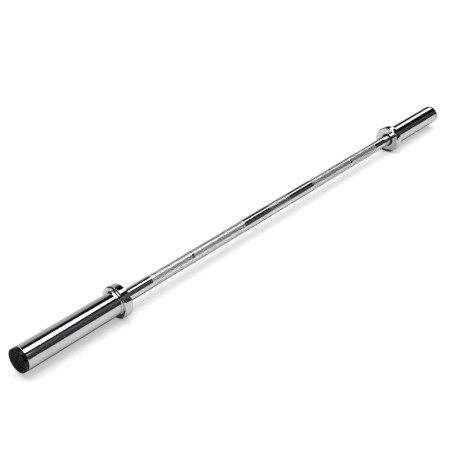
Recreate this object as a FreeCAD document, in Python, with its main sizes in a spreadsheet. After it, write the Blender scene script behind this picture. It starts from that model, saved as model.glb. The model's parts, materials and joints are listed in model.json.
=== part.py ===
import FreeCAD, Part
import os
import Sketcher
from FreeCAD import Placement, Rotation, Vector

# Olympic barbell of the 1524 mm class. A steel shaft runs through two sleeves that spin freely on it.
# X runs along the bar, Z is up, and the origin is the middle of the shaft on its axis.
# Every piece of a sleeve is drawn for the right end, and the left end is the same piece turned round Z.

SIZES = [
    ("grip_span", 1020.0, "between the inner faces of the two collars"),
    ("shaft_diameter", 28.0, "plain shaft"),
    ("shaft_overhang", 3.0, "shaft beyond the bore ring"),
    ("shaft_end_chamfer", 1.5, "chamfer on the shaft's ends"),
    ("centre_knurl_length", 79.0, "soft knurl in the middle"),
    ("plain_gap", 95.0, "plain shaft between the centre knurl and a grip"),
    ("plain_end", 77.5, "plain shaft between a grip and its collar"),
    ("ring_mark_inset", 123.5, "from the outer end of a grip to its ring mark"),
    ("ring_mark_width", 5.0, "plain ring in a grip"),
    ("knurl_relief", 0.15, "mean depth of a knurled band"),
    ("knurl_runout", 0.5, "slope at the end of a knurled band"),
    ("sleeve_diameter", 50.0, "plate seat of a sleeve"),
    ("sleeve_length", 224.0, "from the collar's plate face to the end cap"),
    ("sleeve_end_chamfer", 0.8, "chamfer under the end cap"),
    ("collar_height", 10.0, "plate stop above the sleeve, radially"),
    ("collar_width", 20.0, "plate stop, along the bar"),
    ("collar_plate_chamfer", 2.5, "edge of the plate stop on the plates' side"),
    ("collar_grip_chamfer", 2.0, "edge of the plate stop on the grip's side"),
    ("collar_web", 6.0, "wall that closes the collar behind the tube"),
    ("collar_bore_gap", 2.75, "hole in the web round the shaft, radially"),
    ("collar_bore_chamfer", 1.2, "edge of the hole in the web"),
    ("spigot_step", 2.0, "shoulder of the tube against the collar, radially"),
    ("collar_fillet", 3.0, "hollow between the plate stop and the sleeve"),
    ("collar_land", 0.5, "collar level with the sleeve beyond the fillet"),
    ("bush_length", 40.0, "bronze bush at the collar"),
    ("bush_chamfer", 0.5, "edges of the bush"),
    ("running_clearance", 0.05, "bush on the shaft, radially"),
    ("seat_clearance", 0.02, "piece in its seat, radially"),
    ("bore_gap", 1.0, "tube round the shaft between the bearings, radially"),
    ("needle_diameter", 2.4, "needle roller"),
    ("needle_clearance", 0.04, "needle on each raceway, radially"),
    ("needle_count", 18.0, "rollers in one bearing"),
    ("cup_wall", 1.0, "drawn cup of the bearing"),
    ("cup_width", 20.0, "drawn cup of the bearing"),
    ("cup_lip_gap", 0.4, "lip of the cup round the shaft, radially"),
    ("cup_recess", 0.2, "cup below the washer seat"),
    ("cage_end_gap", 0.3, "cage inside the lips of the cup"),
    ("cage_side_gap", 0.45, "cage beside each raceway, radially"),
    ("cage_rim", 1.7, "ring of the cage at each end of its windows"),
    ("pocket_clearance", 0.1, "needle in its pocket, all round"),
    ("washer_seat_depth", 38.0, "washer seat below the end of the tube"),
    ("washer_seat_step", 1.2, "washer bore above the bearing seat, radially"),
    ("washer_thickness", 2.0, "thrust washer"),
    ("washer_side_gap", 0.25, "thrust washer in its bore, radially"),
    ("washer_shaft_gap", 0.1, "thrust washer on the shaft, radially"),
    ("stack_clearance", 0.15, "between washers and rings, along the bar"),
    ("ring_thickness", 1.5, "both snap rings"),
    ("ring_groove_play", 0.05, "each side of a ring in its groove"),
    ("shaft_groove_depth", 0.7, "groove for the shaft ring"),
    ("bore_groove_depth", 0.9, "groove for the bore ring"),
    ("shaft_ring_band", 3.2, "shaft ring, radially"),
    ("bore_ring_band", 3.0, "bore ring, radially"),
    ("ring_gap", 5.0, "opening of a snap ring"),
    ("lug_radius", 2.0, "eye at each end of a snap ring"),
    ("lug_hole", 2.0, "plier hole in an eye"),
    ("cap_flange", 8.0, "end cap beyond the tube"),
    ("cap_inset", 0.2, "flange below the sleeve's surface, radially"),
    ("cap_round", 1.4, "edge of the flange"),
    ("cap_plug_length", 16.0, "plug inside the tube"),
    ("cap_plug_gap", 0.5, "plug in its bore, radially"),
    ("cap_plug_wall", 3.0, "wall of the hollow plug"),
    ("cap_rib_width", 2.0, "crush rib on the plug"),
    ("cap_rib_count", 8.0, "crush ribs round the plug"),
]

doc = FreeCAD.newDocument("OlympicBarbell")
sheet = doc.addObject("Spreadsheet::Sheet", "Sizes")
for row, (alias, size, note) in enumerate(SIZES, start=1):
    sheet.set(f"A{row}", alias)
    sheet.set(f"B{row}", str(size))
    sheet.set(f"C{row}", note)
    sheet.setAlias(f"B{row}", alias)
doc.recompute()


def size(alias):
    """Return the expression that reads one driving size."""
    return f"Sizes.{alias}"


def measure(expression):
    """Return the present value of an expression as a plain number."""
    return float(sheet.evalExpression(expression))


def both(first, second):
    """Return the sum of two expressions."""
    return f"({first} + {second})"


def less(first, second):
    """Return the difference of two expressions."""
    return f"({first} - {second})"


def half(first):
    """Return half of an expression."""
    return f"({first} / 2)"


def twice(first):
    """Return double an expression."""
    return f"({first} * 2)"


def side_of(longest, other):
    """Return the third side of a right triangle from its longest side and another."""
    return f"sqrt({longest} ^ 2 - {other} ^ 2)"


# Radii, from the axis outwards.
AXIS = "0"
SHAFT_R = half(size("shaft_diameter"))
KNURL_R = less(SHAFT_R, size("knurl_relief"))
SHAFT_GROOVE_R = less(SHAFT_R, size("shaft_groove_depth"))
BUSH_BORE_R = both(SHAFT_R, size("running_clearance"))
RACE_GAP = both(size("needle_diameter"), twice(size("needle_clearance")))
RACE_R = both(SHAFT_R, RACE_GAP)
PITCH_R = both(SHAFT_R, half(RACE_GAP))
CUP_R = both(RACE_R, size("cup_wall"))
CUP_LIP_R = both(SHAFT_R, size("cup_lip_gap"))
SEAT_R = both(CUP_R, size("seat_clearance"))
BORE_R = both(SHAFT_R, size("bore_gap"))
WASHER_BORE_R = both(SEAT_R, size("washer_seat_step"))
BORE_GROOVE_R = both(WASHER_BORE_R, size("bore_groove_depth"))
SLEEVE_R = half(size("sleeve_diameter"))
SPIGOT_R = less(SLEEVE_R, size("spigot_step"))
SOCKET_R = both(SPIGOT_R, size("seat_clearance"))
COLLAR_R = both(SLEEVE_R, size("collar_height"))
COLLAR_BORE_R = both(SHAFT_R, size("collar_bore_gap"))
CAP_R = less(SLEEVE_R, size("cap_inset"))
PLUG_R = less(WASHER_BORE_R, size("cap_plug_gap"))

# Stations along the bar, from the middle to the right end.
KNURL_CENTRE_X = half(size("centre_knurl_length"))
GRIP_START_X = both(KNURL_CENTRE_X, size("plain_gap"))
COLLAR_X = half(size("grip_span"))
GRIP_END_X = less(COLLAR_X, size("plain_end"))
MARK_X = less(GRIP_END_X, size("ring_mark_inset"))
MARK_START_X = less(MARK_X, half(size("ring_mark_width")))
MARK_END_X = both(MARK_X, half(size("ring_mark_width")))
TUBE_START_X = both(COLLAR_X, size("collar_web"))
BUSH_END_X = both(TUBE_START_X, size("bush_length"))
PLATE_X = both(COLLAR_X, size("collar_width"))
SHOULDER_X = both(both(PLATE_X, size("collar_fillet")), size("collar_land"))
TUBE_END_X = both(PLATE_X, size("sleeve_length"))
CAP_X = both(TUBE_END_X, size("cap_flange"))
WASHER_SEAT_X = less(TUBE_END_X, size("washer_seat_depth"))
CUP_END_X = less(WASHER_SEAT_X, size("cup_recess"))
CUP_START_X = less(CUP_END_X, size("cup_width"))
CAGE_END_ROOM = both(size("cup_wall"), size("cage_end_gap"))
CAGE_START_X = both(CUP_START_X, CAGE_END_ROOM)
CAGE_END_X = less(CUP_END_X, CAGE_END_ROOM)
WINDOW_START_X = both(CAGE_START_X, size("cage_rim"))
WINDOW_END_X = less(CAGE_END_X, size("cage_rim"))
NEEDLE_START_X = both(WINDOW_START_X, size("pocket_clearance"))
NEEDLE_END_X = less(WINDOW_END_X, size("pocket_clearance"))
INNER_WASHER_X = both(WASHER_SEAT_X, size("stack_clearance"))
SHAFT_RING_X = both(both(INNER_WASHER_X, size("washer_thickness")), size("stack_clearance"))
SHAFT_RING_END_X = both(SHAFT_RING_X, size("ring_thickness"))
OUTER_WASHER_X = both(SHAFT_RING_END_X, size("stack_clearance"))
BORE_RING_X = both(both(OUTER_WASHER_X, size("washer_thickness")), size("stack_clearance"))
BORE_RING_END_X = both(BORE_RING_X, size("ring_thickness"))
SHAFT_END_X = both(BORE_RING_END_X, size("shaft_overhang"))
PLUG_X = less(TUBE_END_X, size("cap_plug_length"))

NEEDLE_COUNT = f"round({size('needle_count')})"
RIB_COUNT = f"round({size('cap_rib_count')})"
SIDES = {"right": 0.0, "left": 180.0}
ALONG_BAR = Rotation(Vector(0, 1, 0), 90)
SAME_PLACE = 1e-6
LEAST_CUT = 1e-6
nodes = []


def keep(piece, turn=0.0):
    """List a finished piece as a node, turned round Z for its end of the bar."""
    piece.Placement = Placement(Vector(0, 0, 0), Rotation(Vector(0, 0, 1), turn))
    nodes.append(piece)


def new_body(label):
    """Start the body of one piece."""
    body = doc.addObject("PartDesign::Body", label)
    body.Label = label
    return body


def new_sketch(body, name, role, offset=None):
    """Start a sketch on one of the body's own planes, moved along the plane's normal."""
    plane = next(item for item in body.Origin.OriginFeatures if item.Role == role)
    sketch = body.newObject("Sketcher::SketchObject", f"{body.Name}_{name}")
    sketch.AttachmentSupport = (plane, [""])
    sketch.MapMode = "FlatFace"
    if offset is not None:
        sketch.setExpression("AttachmentOffset.Base.z", offset)
        doc.recompute()
    return sketch


def dimension(sketch, kind, name, places, expression):
    """Add a named dimension to a sketch and bind it to the sizes."""
    index = sketch.addConstraint(Sketcher.Constraint(kind, *places, measure(expression)))
    sketch.renameConstraint(index, name)
    sketch.setExpression(f"Constraints.{name}", expression)


def pin_point(sketch, name, geometry, end, across, up):
    """Place one point of a sketch from the origin; None leaves that direction free."""
    if across == AXIS:
        sketch.addConstraint(Sketcher.Constraint("PointOnObject", geometry, end, -2))
    elif across is not None:
        dimension(sketch, "DistanceX", f"{name}_across", (-1, 1, geometry, end), across)
    if up == AXIS:
        sketch.addConstraint(Sketcher.Constraint("PointOnObject", geometry, end, -1))
    elif up is not None:
        dimension(sketch, "DistanceY", f"{name}_up", (-1, 1, geometry, end), up)


def towards(start, goal):
    """Return the sign of the step from one expression to another, 0 if they are the same."""
    step = measure(goal) - measure(start)
    return 0 if start == goal else (1 if step > 0 else -1)


def stepped(start, sign, reach):
    """Return an expression moved by a reach along one direction."""
    return start if sign == 0 else (both(start, reach) if sign > 0 else less(start, reach))


def outline_points(corners):
    """Turn corners into path points; a corner with a third entry is rounded by that radius.

    Each path point is (across, up, centre), where a centre marks an arc from it to the next point.
    """
    path = []
    for index, corner in enumerate(corners):
        across, up = corner[:2]
        if len(corner) == 2:
            path.append((across, up, None))
            continue
        before, after, radius = corners[index - 1], corners[(index + 1) % len(corners)], corner[2]
        come = (towards(across, before[0]), towards(up, before[1]))
        leave = (towards(across, after[0]), towards(up, after[1]))
        centre = (stepped(across, come[0] + leave[0], radius), stepped(up, come[1] + leave[1], radius))
        path.append((stepped(across, come[0], radius), stepped(up, come[1], radius), centre))
        path.append((stepped(across, leave[0], radius), stepped(up, leave[1], radius), None))
    return path


def flat_point(across, up):
    """Return the present place of a sketch point."""
    return Vector(measure(across), measure(up), 0)


def arc_through(start, centre, goal):
    """Return the short arc about a centre between two points."""
    radius = (start - centre).Length
    bulge = ((start + goal) * 0.5 - centre).normalize() * radius
    return Part.Arc(start, centre + bulge, goal)


def draw_outline(sketch, corners):
    """Draw a closed outline whose every point is placed by an expression."""
    path = outline_points(corners)
    ends = []
    for index, (across, up, centre) in enumerate(path):
        start = flat_point(across, up)
        goal = flat_point(*path[(index + 1) % len(path)][:2])
        edge = Part.LineSegment(start, goal) if centre is None else arc_through(start, flat_point(*centre), goal)
        geometry = sketch.addGeometry(edge, False)
        forward = sketch.getPoint(geometry, 1).distanceToPoint(start) < SAME_PLACE
        ends.append((geometry, 1 if forward else 2, 2 if forward else 1))
    for index, (geometry, first, last) in enumerate(ends):
        following, opening, _ = ends[(index + 1) % len(ends)]
        sketch.addConstraint(Sketcher.Constraint("Coincident", geometry, last, following, opening))
    for index, (across, up, centre) in enumerate(path):
        geometry, first, last = ends[index]
        before = path[index - 1]
        same_across = index > 0 and before[2] is None and before[0] == across and across != AXIS
        same_up = index > 0 and before[2] is None and before[1] == up and up != AXIS
        if same_across:
            sketch.addConstraint(Sketcher.Constraint("Vertical", ends[index - 1][0]))
        if same_up:
            sketch.addConstraint(Sketcher.Constraint("Horizontal", ends[index - 1][0]))
        pin_point(sketch, f"p{index}", geometry, first, None if same_across else across, None if same_up else up)
        if centre is not None:
            kind = "Vertical" if centre[0] == across else "Horizontal"
            sketch.addConstraint(Sketcher.Constraint(kind, geometry, 3, geometry, first))


def draw_circle(sketch, name, across, up, radius):
    """Draw a circle about a placed point and return its index in the sketch."""
    circle = Part.Circle(flat_point(across, up), Vector(0, 0, 1), measure(radius))
    index = sketch.addGeometry(circle, False)
    if (across, up) == (AXIS, AXIS):
        sketch.addConstraint(Sketcher.Constraint("Coincident", index, 3, -1, 1))
    else:
        pin_point(sketch, name, index, 3, across, up)
    dimension(sketch, "Radius", f"{name}_radius", (index,), radius)
    return index


def turned(body, corners):
    """Turn an outline of (station, radius) corners about the bar's axis."""
    sketch = new_sketch(body, "outline", "XZ_Plane")
    draw_outline(sketch, corners)
    doc.recompute()
    turn = body.newObject("PartDesign::Revolution", f"{body.Name}_turn")
    turn.Profile = sketch
    turn.ReferenceAxis = (sketch, ["H_Axis"])
    turn.Angle = 360
    doc.recompute()
    return turn


def feature(body, kind, name, sketch, length):
    """Add a Pad or Pocket to a body, both along the sketch's normal."""
    made = body.newObject(f"PartDesign::{kind}", f"{body.Name}_{name}")
    made.Profile = sketch
    made.Reversed = kind == "Pocket"
    made.setExpression("Length", length)
    doc.recompute()
    return made


def cut(body, name, sketch, length):
    """Add a Pocket and make sure that it took material away."""
    whole = body.Shape.Volume
    made = feature(body, "Pocket", name, sketch, length)
    if body.Shape.Volume > whole - LEAST_CUT:
        raise RuntimeError(f"{body.Label}: {name} cuts nothing")
    return made


def round_the_bar(body, name, original, count):
    """Repeat a feature round the bar's axis."""
    axis = next(item for item in body.Origin.OriginFeatures if item.Role == "X_Axis")
    pattern = body.newObject("PartDesign::PolarPattern", f"{body.Name}_{name}")
    pattern.Originals = [original]
    pattern.Axis = (axis, [""])
    pattern.Angle = 360
    pattern.setExpression("Occurrences", count)
    body.Tip = pattern
    doc.recompute()
    return pattern


def make_shaft():
    """Build the shaft: half of it is turned, with its knurled bands sunk a little, and then mirrored."""
    body = new_body("shaft")
    runout = size("knurl_runout")
    groove_start = less(SHAFT_RING_X, size("ring_groove_play"))
    groove_end = both(SHAFT_RING_END_X, size("ring_groove_play"))
    chamfer = size("shaft_end_chamfer")
    turned(body, [
        (AXIS, AXIS),
        (AXIS, KNURL_R),
        (KNURL_CENTRE_X, KNURL_R),
        (both(KNURL_CENTRE_X, runout), SHAFT_R),
        (less(GRIP_START_X, runout), SHAFT_R),
        (GRIP_START_X, KNURL_R),
        (less(MARK_START_X, runout), KNURL_R),
        (MARK_START_X, SHAFT_R),
        (MARK_END_X, SHAFT_R),
        (both(MARK_END_X, runout), KNURL_R),
        (GRIP_END_X, KNURL_R),
        (both(GRIP_END_X, runout), SHAFT_R),
        (groove_start, SHAFT_R),
        (groove_start, SHAFT_GROOVE_R),
        (groove_end, SHAFT_GROOVE_R),
        (groove_end, SHAFT_R),
        (less(SHAFT_END_X, chamfer), SHAFT_R),
        (SHAFT_END_X, less(SHAFT_R, chamfer)),
        (SHAFT_END_X, AXIS),
    ])
    middle = next(item for item in body.Origin.OriginFeatures if item.Role == "YZ_Plane")
    other_half = body.newObject("PartDesign::Mirrored", "shaft_other_half")
    other_half.Originals = [body.Tip]
    other_half.MirrorPlane = (middle, [""])
    body.Tip = other_half
    keep(body)


def make_sleeve_tube(side, turn):
    """Build the plate tube, bored for the bush, the bearing, the washers and the bore ring."""
    body = new_body(f"{side}_sleeve_tube")
    groove_start = less(BORE_RING_X, size("ring_groove_play"))
    groove_end = both(BORE_RING_END_X, size("ring_groove_play"))
    chamfer = size("sleeve_end_chamfer")
    turned(body, [
        (TUBE_START_X, SPIGOT_R),
        (SHOULDER_X, SPIGOT_R),
        (SHOULDER_X, SLEEVE_R),
        (less(TUBE_END_X, chamfer), SLEEVE_R),
        (TUBE_END_X, less(SLEEVE_R, chamfer)),
        (TUBE_END_X, WASHER_BORE_R),
        (groove_end, WASHER_BORE_R),
        (groove_end, BORE_GROOVE_R),
        (groove_start, BORE_GROOVE_R),
        (groove_start, WASHER_BORE_R),
        (WASHER_SEAT_X, WASHER_BORE_R),
        (WASHER_SEAT_X, SEAT_R),
        (CUP_START_X, SEAT_R),
        (CUP_START_X, BORE_R),
        (BUSH_END_X, BORE_R),
        (BUSH_END_X, SEAT_R),
        (TUBE_START_X, SEAT_R),
    ])
    keep(body, turn)


def make_collar(side, turn):
    """Build the plate stop: a closed disc that runs out level with the sleeve, over the tube's spigot."""
    body = new_body(f"{side}_collar")
    grip_chamfer, plate_chamfer = size("collar_grip_chamfer"), size("collar_plate_chamfer")
    bore_chamfer = size("collar_bore_chamfer")
    turned(body, [
        (both(COLLAR_X, bore_chamfer), COLLAR_BORE_R),
        (COLLAR_X, both(COLLAR_BORE_R, bore_chamfer)),
        (COLLAR_X, less(COLLAR_R, grip_chamfer)),
        (both(COLLAR_X, grip_chamfer), COLLAR_R),
        (less(PLATE_X, plate_chamfer), COLLAR_R),
        (PLATE_X, less(COLLAR_R, plate_chamfer)),
        (PLATE_X, SLEEVE_R, size("collar_fillet")),
        (SHOULDER_X, SLEEVE_R),
        (SHOULDER_X, SOCKET_R),
        (TUBE_START_X, SOCKET_R),
        (TUBE_START_X, COLLAR_BORE_R),
    ])
    keep(body, turn)


def make_bush(side, turn):
    """Build the bronze bush that carries the collar end of the sleeve."""
    body = new_body(f"{side}_bush")
    chamfer = size("bush_chamfer")
    outer = less(SEAT_R, size("seat_clearance"))
    turned(body, [
        (TUBE_START_X, both(BUSH_BORE_R, chamfer)),
        (TUBE_START_X, less(outer, chamfer)),
        (both(TUBE_START_X, chamfer), outer),
        (less(BUSH_END_X, chamfer), outer),
        (BUSH_END_X, less(outer, chamfer)),
        (BUSH_END_X, both(BUSH_BORE_R, chamfer)),
        (less(BUSH_END_X, chamfer), BUSH_BORE_R),
        (both(TUBE_START_X, chamfer), BUSH_BORE_R),
    ])
    keep(body, turn)


def make_bearing_cup(side, turn):
    """Build the drawn cup of the needle bearing, with a lip turned in at each end."""
    body = new_body(f"{side}_bearing_cup")
    lip = size("cup_wall")
    turned(body, [
        (CUP_START_X, CUP_LIP_R),
        (CUP_START_X, CUP_R, half(lip)),
        (CUP_END_X, CUP_R, half(lip)),
        (CUP_END_X, CUP_LIP_R),
        (less(CUP_END_X, lip), CUP_LIP_R),
        (less(CUP_END_X, lip), RACE_R),
        (both(CUP_START_X, lip), RACE_R),
        (both(CUP_START_X, lip), CUP_LIP_R),
    ])
    keep(body, turn)


def make_bearing_cage(side, turn):
    """Build the cage, a thin ring with one window for each needle."""
    body = new_body(f"{side}_bearing_cage")
    inner, outer = both(SHAFT_R, size("cage_side_gap")), less(RACE_R, size("cage_side_gap"))
    turned(body, [(CAGE_START_X, inner), (CAGE_START_X, outer), (CAGE_END_X, outer), (CAGE_END_X, inner)])
    width = both(size("needle_diameter"), twice(size("pocket_clearance")))
    sketch = new_sketch(body, "window", "XZ_Plane", f"(-{half(width)})")
    draw_outline(sketch, [
        (WINDOW_START_X, SHAFT_R),
        (WINDOW_START_X, RACE_R),
        (WINDOW_END_X, RACE_R),
        (WINDOW_END_X, SHAFT_R),
    ])
    doc.recompute()
    window = cut(body, "window_cut", sketch, width)
    round_the_bar(body, "windows", window, NEEDLE_COUNT)
    keep(body, turn)


def make_needles(side, turn):
    """Build the needle rollers of one bearing as a group of separate rollers."""
    rollers = []
    for index in range(round(measure(NEEDLE_COUNT))):
        roller = doc.addObject("Part::Cylinder", f"{side}_needle_{index}")
        angle = f"({index} * 360 deg / {NEEDLE_COUNT})"
        roller.Placement = Placement(Vector(0, 0, 0), ALONG_BAR)
        roller.setExpression("Radius", half(size("needle_diameter")))
        roller.setExpression("Height", less(NEEDLE_END_X, NEEDLE_START_X))
        roller.setExpression("Placement.Base.x", NEEDLE_START_X)
        roller.setExpression("Placement.Base.y", f"{PITCH_R} * sin({angle})")
        roller.setExpression("Placement.Base.z", f"{PITCH_R} * cos({angle})")
        rollers.append(roller)
    group = doc.addObject("Part::Compound", f"{side}_needles")
    group.Label = f"{side}_needles"
    group.Links = rollers
    doc.recompute()
    keep(group, turn)


def make_washer(side, turn, name, start):
    """Build one thrust washer on the shaft."""
    body = new_body(f"{side}_{name}")
    goal = both(start, size("washer_thickness"))
    inner = both(SHAFT_R, size("washer_shaft_gap"))
    outer = less(WASHER_BORE_R, size("washer_side_gap"))
    turned(body, [(start, inner), (start, outer), (goal, outer), (goal, inner)])
    keep(body, turn)


def make_snap_ring(side, turn, name, start, inner, outer, eye_radius):
    """Build a snap ring: a flat ring, opened at the top, with an eye beside the opening at each end."""
    body = new_body(f"{side}_{name}")
    thickness = size("ring_thickness")
    band = new_sketch(body, "band", "YZ_Plane", start)
    draw_circle(band, "inside", AXIS, AXIS, inner)
    draw_circle(band, "outside", AXIS, AXIS, outer)
    doc.recompute()
    feature(body, "Pad", "band_pad", band, thickness)
    opening = half(size("ring_gap"))
    eye_across = both(opening, size("lug_radius"))
    eye_up = side_of(eye_radius, eye_across)
    eyes = new_sketch(body, "eyes", "YZ_Plane", start)
    holes = new_sketch(body, "eye_holes", "YZ_Plane", start)
    for sketch, name_of_circle, radius in (
        (eyes, "eye", size("lug_radius")),
        (holes, "hole", half(size("lug_hole"))),
    ):
        first = draw_circle(sketch, name_of_circle, eye_across, eye_up, radius)
        mirrored = flat_point(eye_across, eye_up)
        mirrored.x = -mirrored.x
        second = sketch.addGeometry(Part.Circle(mirrored, Vector(0, 0, 1), measure(radius)), False)
        sketch.addConstraint(Sketcher.Constraint("Symmetric", first, 3, second, 3, -2))
        sketch.addConstraint(Sketcher.Constraint("Equal", first, second))
    doc.recompute()
    feature(body, "Pad", "eyes_pad", eyes, thickness)
    gap = new_sketch(body, "gap", "YZ_Plane", start)
    corners = [Vector(-1, 0, 0), Vector(1, 0, 0), Vector(1, 1, 0), Vector(-1, 1, 0)]
    reach = Vector(measure(opening), measure(both(outer, size("lug_radius"))), 0)
    places = [Vector(corner.x * reach.x, corner.y * reach.y, 0) for corner in corners]
    for index, place in enumerate(places):
        gap.addGeometry(Part.LineSegment(place, places[(index + 1) % len(places)]), False)
    for index in range(len(places)):
        following = (index + 1) % len(places)
        gap.addConstraint(Sketcher.Constraint("Coincident", index, 2, following, 1))
        gap.addConstraint(Sketcher.Constraint("Vertical" if index % 2 else "Horizontal", index))
    gap.addConstraint(Sketcher.Constraint("Symmetric", 0, 1, 0, 2, -1, 1))
    dimension(gap, "DistanceX", "opening", (0, 1, 0, 2), size("ring_gap"))
    dimension(gap, "DistanceY", "reach", (1, 1, 1, 2), both(outer, size("lug_radius")))
    doc.recompute()
    cut(body, "gap_cut", gap, thickness)
    cut(body, "eye_hole_cut", holes, thickness)
    keep(body, turn)


def make_snap_rings(side, turn):
    """Build the ring in the shaft's groove and the ring in the tube's groove."""
    shaft_inner = both(SHAFT_GROOVE_R, size("seat_clearance"))
    shaft_outer = both(shaft_inner, size("shaft_ring_band"))
    shaft_eye = both(shaft_inner, size("lug_radius"))
    make_snap_ring(side, turn, "shaft_ring", SHAFT_RING_X, shaft_inner, shaft_outer, shaft_eye)
    bore_outer = less(BORE_GROOVE_R, size("seat_clearance"))
    bore_inner = less(bore_outer, size("bore_ring_band"))
    bore_eye = less(bore_outer, size("lug_radius"))
    make_snap_ring(side, turn, "bore_ring", BORE_RING_X, bore_inner, bore_outer, bore_eye)


def make_end_cap(side, turn):
    """Build the moulded end cap: a round-edged flange and a hollow plug with crush ribs."""
    body = new_body(f"{side}_end_cap")
    hollow = less(PLUG_R, size("cap_plug_wall"))
    turned(body, [
        (TUBE_END_X, AXIS),
        (TUBE_END_X, hollow),
        (PLUG_X, hollow),
        (PLUG_X, PLUG_R),
        (TUBE_END_X, PLUG_R),
        (TUBE_END_X, CAP_R),
        (CAP_X, CAP_R, size("cap_round")),
        (CAP_X, AXIS),
    ])
    width = size("cap_rib_width")
    sketch = new_sketch(body, "rib", "XZ_Plane", f"(-{half(width)})")
    foot = less(PLUG_R, half(size("cap_plug_wall")))
    tip = side_of(less(WASHER_BORE_R, size("seat_clearance")), half(width))
    draw_outline(sketch, [(PLUG_X, foot), (PLUG_X, tip), (TUBE_END_X, tip), (TUBE_END_X, foot)])
    doc.recompute()
    rib = feature(body, "Pad", "rib_pad", sketch, width)
    round_the_bar(body, "ribs", rib, RIB_COUNT)
    keep(body, turn)


make_shaft()
for side_name, side_turn in SIDES.items():
    make_sleeve_tube(side_name, side_turn)
    make_collar(side_name, side_turn)
    make_bush(side_name, side_turn)
    make_bearing_cup(side_name, side_turn)
    make_bearing_cage(side_name, side_turn)
    make_needles(side_name, side_turn)
    make_washer(side_name, side_turn, "inner_washer", INNER_WASHER_X)
    make_washer(side_name, side_turn, "outer_washer", OUTER_WASHER_X)
    make_snap_rings(side_name, side_turn)
    make_end_cap(side_name, side_turn)
doc.recompute()

faults = [item.Name for item in doc.Objects if {"Invalid", "Error"} & set(item.State)]
faults += [piece.Label for piece in nodes if piece.Shape.isNull() or not piece.Shape.isValid()]
if faults:
    raise RuntimeError(f"these did not build: {faults}")

os.makedirs("parts", exist_ok=True)
for piece in nodes:
    piece.Shape.exportStep(os.path.join("parts", f"{piece.Label}.step"))
    box = piece.Shape.BoundBox
    print(f"{piece.Label}: {len(piece.Shape.Solids)} solids, {piece.Shape.Volume:.1f} mm3, "
          f"x {box.XMin:.2f} to {box.XMax:.2f}, z {box.ZMin:.2f} to {box.ZMax:.2f}")
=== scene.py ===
"""A short olympic barbell: a knurled chrome shaft and two chrome sleeves that spin on it."""

import json
import logging
import math
from collections.abc import Sequence
from dataclasses import dataclass
from enum import Enum
from functools import cache
from typing import Any

import bpy
from bpy.types import Material, Node, NodeSocket, NodeTree, Object
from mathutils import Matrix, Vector
from mathutils.geometry import delaunay_2d_cdt


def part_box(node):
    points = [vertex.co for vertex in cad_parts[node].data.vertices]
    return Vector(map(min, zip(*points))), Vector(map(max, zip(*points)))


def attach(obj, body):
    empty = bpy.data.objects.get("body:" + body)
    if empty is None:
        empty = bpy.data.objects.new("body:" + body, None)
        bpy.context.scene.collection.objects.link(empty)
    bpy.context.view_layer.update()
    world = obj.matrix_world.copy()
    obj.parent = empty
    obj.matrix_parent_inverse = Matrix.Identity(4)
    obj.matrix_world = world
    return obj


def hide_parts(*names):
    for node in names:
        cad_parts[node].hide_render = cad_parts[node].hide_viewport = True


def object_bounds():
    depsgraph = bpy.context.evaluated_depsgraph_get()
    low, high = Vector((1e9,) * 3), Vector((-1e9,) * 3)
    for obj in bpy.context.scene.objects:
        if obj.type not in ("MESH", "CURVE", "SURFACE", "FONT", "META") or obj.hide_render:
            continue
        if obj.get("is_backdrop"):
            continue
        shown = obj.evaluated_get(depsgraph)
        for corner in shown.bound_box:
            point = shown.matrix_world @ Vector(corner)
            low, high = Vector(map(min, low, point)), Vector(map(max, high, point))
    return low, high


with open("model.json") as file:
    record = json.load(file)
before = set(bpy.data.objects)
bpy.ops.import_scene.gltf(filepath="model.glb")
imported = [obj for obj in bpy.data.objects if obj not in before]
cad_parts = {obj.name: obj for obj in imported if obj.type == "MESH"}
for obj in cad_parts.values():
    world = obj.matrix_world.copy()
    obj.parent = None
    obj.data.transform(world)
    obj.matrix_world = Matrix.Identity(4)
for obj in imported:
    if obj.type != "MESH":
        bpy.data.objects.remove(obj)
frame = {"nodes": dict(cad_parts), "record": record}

MM = 0.001
HALF_TURN = 180.0
WHITE = "#FFFFFF"
# Corners of a square, anticlockwise.
SQUARE = ((-1, -1), (1, -1), (1, 1), (-1, 1))

Point = tuple[float, float, float]
Pairs = tuple[tuple[float, float], ...]

log = logging.getLogger("barbell")


class Side(Enum):
    """End of the bar, as the sign of its stations."""

    LEFT = -1
    RIGHT = 1

    def named(self, piece: str) -> str:
        """Name of a piece at this end."""
        return f"{self.name.lower()}_{piece}"


class Skin(Enum):
    """How the faces between two rings take the light."""

    TURNED = "turned"
    FACETED = "faceted"


def linear(hex_colour: str) -> tuple[float, float, float, float]:
    """Turn an sRGB hex colour into linear RGBA.

    Args:
        hex_colour: Colour such as "#C8C9CA".

    Returns:
        Red, green, blue and full opacity, linear.
    """
    channels = [int(hex_colour[i : i + 2], 16) / 255 for i in (1, 3, 5)]
    return (*(c / 12.92 if c <= 0.04045 else ((c + 0.055) / 1.055) ** 2.4 for c in channels), 1.0)


def add_node(
    tree: NodeTree, kind: str, inputs: dict[str | int, Any] | None = None, **settings: Any
) -> Node:
    """Add a shader node with its settings, and fill or link its inputs.

    Args:
        tree: Node tree that gets the node.
        kind: Node type without its ShaderNode prefix.
        inputs: A value, or the output socket to link, for each input by name or number.
        settings: Properties of the node.

    Returns:
        The new node.
    """
    node = tree.nodes.new(f"ShaderNode{kind}")
    for name, value in settings.items():
        setattr(node, name, value)
    for key, value in (inputs or {}).items():
        if isinstance(value, NodeSocket):
            tree.links.new(value, node.inputs[key])
        else:
            node.inputs[key].default_value = value
    return node


def per_metre(size_mm: float) -> float:
    """Scale of a pattern whose features are this many millimetres across."""
    return 1.0 / (size_mm * MM)


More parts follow.
